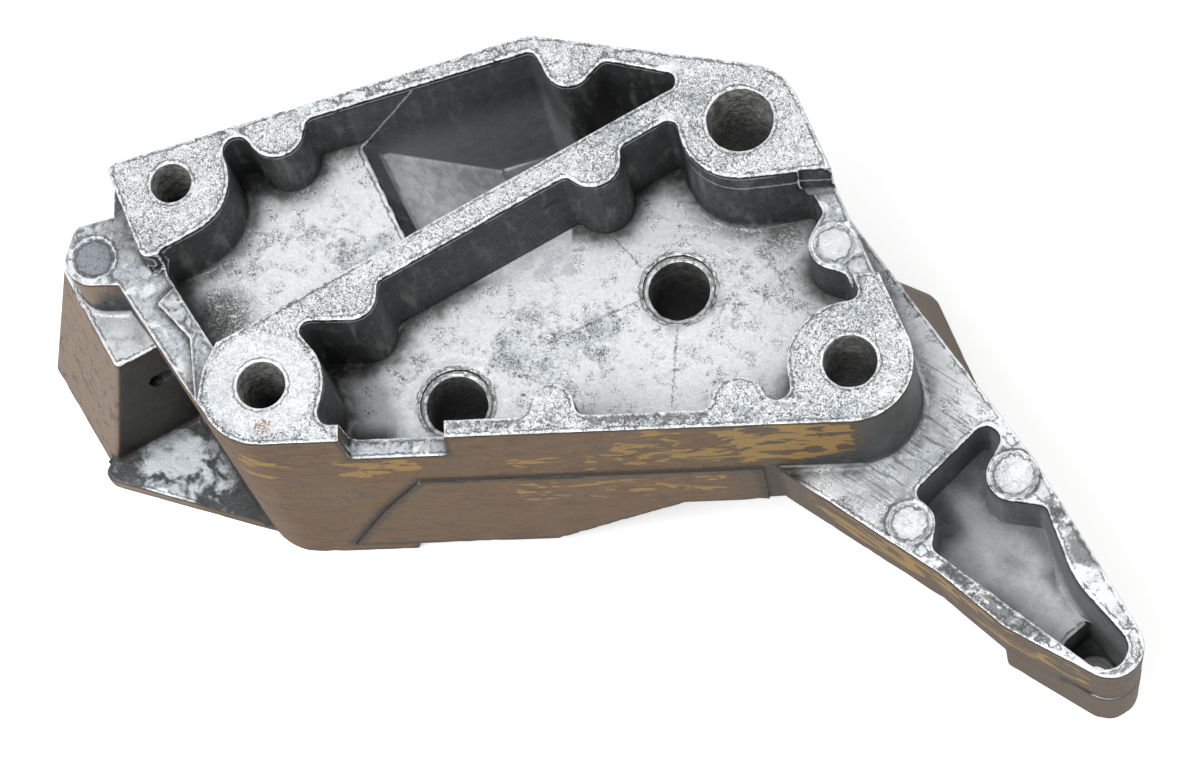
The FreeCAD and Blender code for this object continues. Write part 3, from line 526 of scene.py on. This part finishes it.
# The back wall of the deep well is paler towards its foot. The arm pocket's walls are paler, and those facing
# left, towards the key lamp, are painted lighter still below the rim: painted light.
deep_wall = within(x, -70.0, -24.0, 1.0) * within(z, 22.0, 74.0, 3.0) * step(y, 20.0, 26.0)
deep_wall = deep_wall * (0.25 + step(z + blotch * 8.0, 66.0, 48.0) * 0.75)
arm_wall_pale_and_lit = step(x, 46.0, 50.0) * within(z, 20.0, 49.0, 1.5)
arm_wall_pale_and_lit = arm_wall_pale_and_lit * (0.4 + step(face_x, -0.1, -0.5) * step(z + blotch * 5.0, 52.5, 48.0) * 0.6)
wall = mix(deep_wall * 0.75 | arm_wall_pale_and_lit * 0.9, wall, mix(blotch, PALE_WALL_DARK, PALE_WALL))
wall = mix(pit * step(patch, 0.55, 0.7) * 0.5, wall, WALL_DARK_AND_SHADE)
# Painted shadow: a dark band on the walls just under their rims, high up.
wall = mix(step(rim, 1.25, 0.9) * step(z, 45.0, 50.0) * 0.8, wall, WALL_DARK_AND_SHADE)

# On those walls: the split line under the rim, a step round the rear right boss, the mark of the
# core that closed the sunk half of the rear well, and the painted shade of a small hollow in the rib
split = line(rim + uneven * 0.5, 1.45, 0.5) * step(blotch, 0.36, 0.5)
split = split * step(z, 60.0, 64.0) * step(x, 24.0, 22.0)
boss_line = line(z + uneven * 1.4, 71.6, 0.9) * near(REAR_RIGHT_HOLE, 24.0, 22.0) * step(y, 24.0, 18.0)
wall = mix(boss_line * 0.6, wall, SILVER)
core_line = line((z - 76.2 - (x + 55.6) * 1.42) * 0.58 + uneven * 0.8, 0.0, 0.75)
core_line = core_line * step(y, 28.0, 30.0) * within(x, -71.0, -55.8, 0.4) * within(z, 57.5, 76.5, 0.5)
wall = mix((split | core_line) * 0.75, wall, SILVER)
east, up = (x + 26.1) / 1.9, z - 68.5
# Painted shade: a small dark oval for a hollow in the rib that the mesh does not have.
hollow_shade = step((east * east + up * up).root(), 1.1, 0.9) * within(y, 10.0, 17.5, 0.5)
wall = mix(hollow_shade, wall, WALL_DARK_AND_SHADE)

# Bores: drilled or cored, grey and speckled at the top, painted black further down as shade in the hole
BORE = (0.46, 0.46, 0.45)
BORE_DARK = (0.12, 0.117, 0.11)
BORES = (((-108.2, 19.7), 4.5), (FRONT_LEFT_HOLE, 5.25), (REAR_RIGHT_HOLE, 7.25), ((38.3, -27.6), 5.75),
         (FLOOR_HOLES[0], 6.75), (FLOOR_HOLES[1], 6.75))
bores = any_of([near(place, radius + 0.5, radius + 0.2) for place, radius in BORES])
turning = noise(casting.stretch(mm, (0.8, 0.8, 1.3)), 1.0, 3.0, 0.7)
bore_metal = mix(step(turning + (blotch - 0.5) * 0.5, 0.38, 0.66), BORE_DARK, BORE)
# Painted shade: bores turn black further down.
bore_metal = mix(step(z, 64.0, 36.0) * 0.85, bore_metal, WALL_DARK_AND_SHADE)
wall = mix(bores, wall, bore_metal)

# Outside: brown stain in level streaks, dark specks
STAIN = (0.148, 0.080, 0.028)
STAIN_STREAK = (0.078, 0.041, 0.014)
STAIN_PALE = (0.130, 0.084, 0.044)
STAIN_SOOT = (0.060, 0.042, 0.024)
FOOT_STAIN = (0.33, 0.25, 0.19)
FOOT_STREAK = (0.22, 0.165, 0.125)
STAIN_BLOT = (0.06, 0.043, 0.030)
SPECK = (0.035, 0.026, 0.019)
streak = noise(casting.stretch(mm, (0.14, 0.14, 1.1)), 1.0, 3.0, 0.66, 0.3)
stain = mix(step(streak, 0.40, 0.68), STAIN, STAIN_STREAK)
stain = mix(step(cloud, 0.42, 0.7) * 0.6, stain, STAIN_PALE)
stain = mix(step(x + blotch * 14.0, 8.0, 30.0) * 0.7, stain, STAIN_SOOT)
stain = mix(step(x, -112.0, -122.0) * 0.7, stain, mix(streak, FOOT_STAIN, FOOT_STREAK))
stain = mix(step(blotch + grain * 0.3, 0.70, 0.80) * 0.6, stain, STAIN_BLOT)
stain = mix(step(grain, 0.61, 0.69) * 0.75, stain, SPECK)

# Worn yellow paint, in dabs: left, right, foot and head of each dabbed area, and how much of it
PAINT = (0.42, 0.255, 0.055)
PAINT_WORN = (0.22, 0.13, 0.035)
DABBED = ((14.0, 37.0, 56.0, 78.0, 1.0), (-12.0, 16.0, 56.0, 77.0, 0.75), (-40.0, -8.0, 54.0, 62.0, 0.5),
          (-94.0, -85.0, 56.0, 68.0, 0.6), (-73.0, -57.0, 53.0, 64.0, 0.8), (-36.0, 8.0, 36.0, 47.0, 0.65),
          (26.0, 84.0, 36.0, 48.0, 0.7))
smears = any_of([share * within(x, left, right, 3.0) * within(z, foot, head, 2.0)
                 for left, right, foot, head, share in DABBED])
dabs = noise(casting.stretch(mm, (0.10, 0.10, 0.28)), 1.0, 2.0, 0.55, 0.9)
painted = step(dabs + smears * 0.22 + grain * 0.06, 0.705, 0.735)
painted = painted * step(smears, 0.05, 0.3) * step(y, -18.0, -22.0)
stain = mix(painted * 0.8, stain, mix(streak, PAINT, PAINT_WORN))

# Sides: stained where they lie open, wall skin where closed in, bare and dark round the right front
# boss, painted near black as shade on the front of the foot, with painted shade under the rims and
# in the creases
FOOT_SHADE_BLACK = (0.010, 0.008, 0.006)
FOOT_SHADE_DARK = (0.02, 0.017, 0.013)
CREASE_SHADE = (0.022, 0.017, 0.012)
foot_face_shade = at_foot * step(face_x - face_y * 0.5, 0.2, 0.7) * step(z, 55.0, 52.0)
boss_side = step(x + patch * 6.0, 40.0, 47.0) * step(z, 50.0, 51.5)
outside = step(sky, 0.62, 0.86)
sides = mix(outside * (1.0 - bores), wall, stain)
sides = mix(boss_side * 0.85, sides, mix(blotch, WALL, WALL_LIGHT))
# Painted shade: the front of the foot is near black.
sides = mix(foot_face_shade * 0.95, sides, mix(step(blotch, 0.4, 0.7), FOOT_SHADE_BLACK, FOOT_SHADE_DARK))
# Painted shade: a dark line under the outer rims and in the outer creases.
under_rim_shadow = step(rim + uneven * 1.4, 1.4, 0.5) * outside
crease_shade = step(nook + uneven * 3.0 + blotch * 1.2, 3.0, 1.4) * outside
sides = mix((under_rim_shadow | crease_shade) * 0.8, sides, CREASE_SHADE)

# Rims: a painted highlight along them, bright as a nicked edge, then a thin painted shadow line on the level
# side. The narrow step along the front wall is painted dark instead, as shade in its crevice.
plate_ledge = step(y, -41.5, -41.8) * step(x, 30.0, 24.0) * step(z, 52.0, 51.4)
plate_ledge = plate_ledge * step(face_z, 0.2, 0.5) * step(z, 9.0, 12.0)
nicked_highlight = step(rim + uneven, 0.45, 0.2) * (1.0 - outside * (1.0 - level))
nicked_highlight = nicked_highlight * step(z, 33.0, 36.0) * step(sky, 0.2, 0.4) * (1.0 - plate_ledge) * (1.0 - foot_hole)
shadow_line = line(rim + uneven * 1.3, 0.85, 0.55) * step(blotch, 0.36, 0.5)
colour = mix(level, sides, mix(shadow_line * 0.75, metal, PIT))
# Painted shade: the narrow step along the front wall is dark, as its crevice.
colour = mix(plate_ledge, colour, GRIME_AND_SHADE)
# Painted highlight, with nicks: a bright line along the open rims.
colour = mix(nicked_highlight * 0.85, colour, BRIGHT)

ROUGH_WALL = 0.60
ROUGH_METAL = 0.36
RELIEF_DEPTH = 0.0002
casting.feed("Base Color", colour)
casting.feed("Specular IOR Level", 0.3)
rough_level = ROUGH_METAL + wormy * 0.25 + sunk * 0.2
casting.feed("Roughness", ROUGH_WALL - level * ROUGH_WALL + level * rough_level)
casting.feed("Metallic", level * (1.0 - sunk) * 0.3)
relief = grain * 0.5 + patch * 0.8 - pit * 0.4 + blotch * 0.9
casting.feed("Normal", casting.node("ShaderNodeBump", None, {
    "Strength": 0.7, "Distance": RELIEF_DEPTH, "Height": relief}))
skin_data.materials.append(casting.material)
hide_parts("bracket_casting")
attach(skin, "root")

# Floor and light
# A white floor that runs out of view, and broad white light from above and the front left.
FLOOR_HALF = 6
FLOOR_LEVEL = -0.0003
CAMERA_RAY = 0
GLOSSY_RAY = 3
WORLD_STRENGTH = 0.55
floor_corners = [(east * FLOOR_HALF, north * FLOOR_HALF, FLOOR_LEVEL)
                 for east, north in ((-1, -1), (1, -1), (1, 1), (-1, 1))]
floor_data = bpy.data.meshes.new("floor")
floor_data.from_pydata(floor_corners, [], [(0, 1, 2, 3)])
floor = bpy.data.objects.new("floor", floor_data)
scene.collection.objects.link(floor)
paper = Finish("white_paper")
paper.feed("Base Color", (0.9, 0.9, 0.9))
paper.feed("Roughness", 0.9)
seen = paper.node("ShaderNodeLightPath", None, None, CAMERA_RAY)
seen = seen | paper.node("ShaderNodeLightPath", None, None, GLOSSY_RAY)
paper.feed("Emission Color", paper.mix(seen, (0.0, 0.0, 0.0), (0.45, 0.45, 0.45)))
paper.feed("Emission Strength", 1.0)
floor_data.materials.append(paper.material)

world = bpy.data.worlds.new("studio")
scene.world = world
world.use_nodes = True
world.node_tree.nodes["Background"].inputs["Color"].default_value = (1, 1, 1, 1)
world.node_tree.nodes["Background"].inputs["Strength"].default_value = WORLD_STRENGTH


def soft_lamp(name, place, size, power):
    """A square lamp of that size, turned towards the middle of the bracket."""
    data = bpy.data.lights.new(name, "AREA")
    data.size = size
    data.energy = power
    lamp = bpy.data.objects.new(name, data)
    lamp.location = place
    aim = Vector((0, 0, 0.03)) - Vector(place)
    lamp.rotation_euler = aim.to_track_quat("-Z", "Y").to_euler()
    scene.collection.objects.link(lamp)


soft_lamp("key", (-0.5, -0.5, 1.3), 0.7, 13.2)
soft_lamp("fill", (0.9, 0.3, 1.1), 0.9, 5.0)
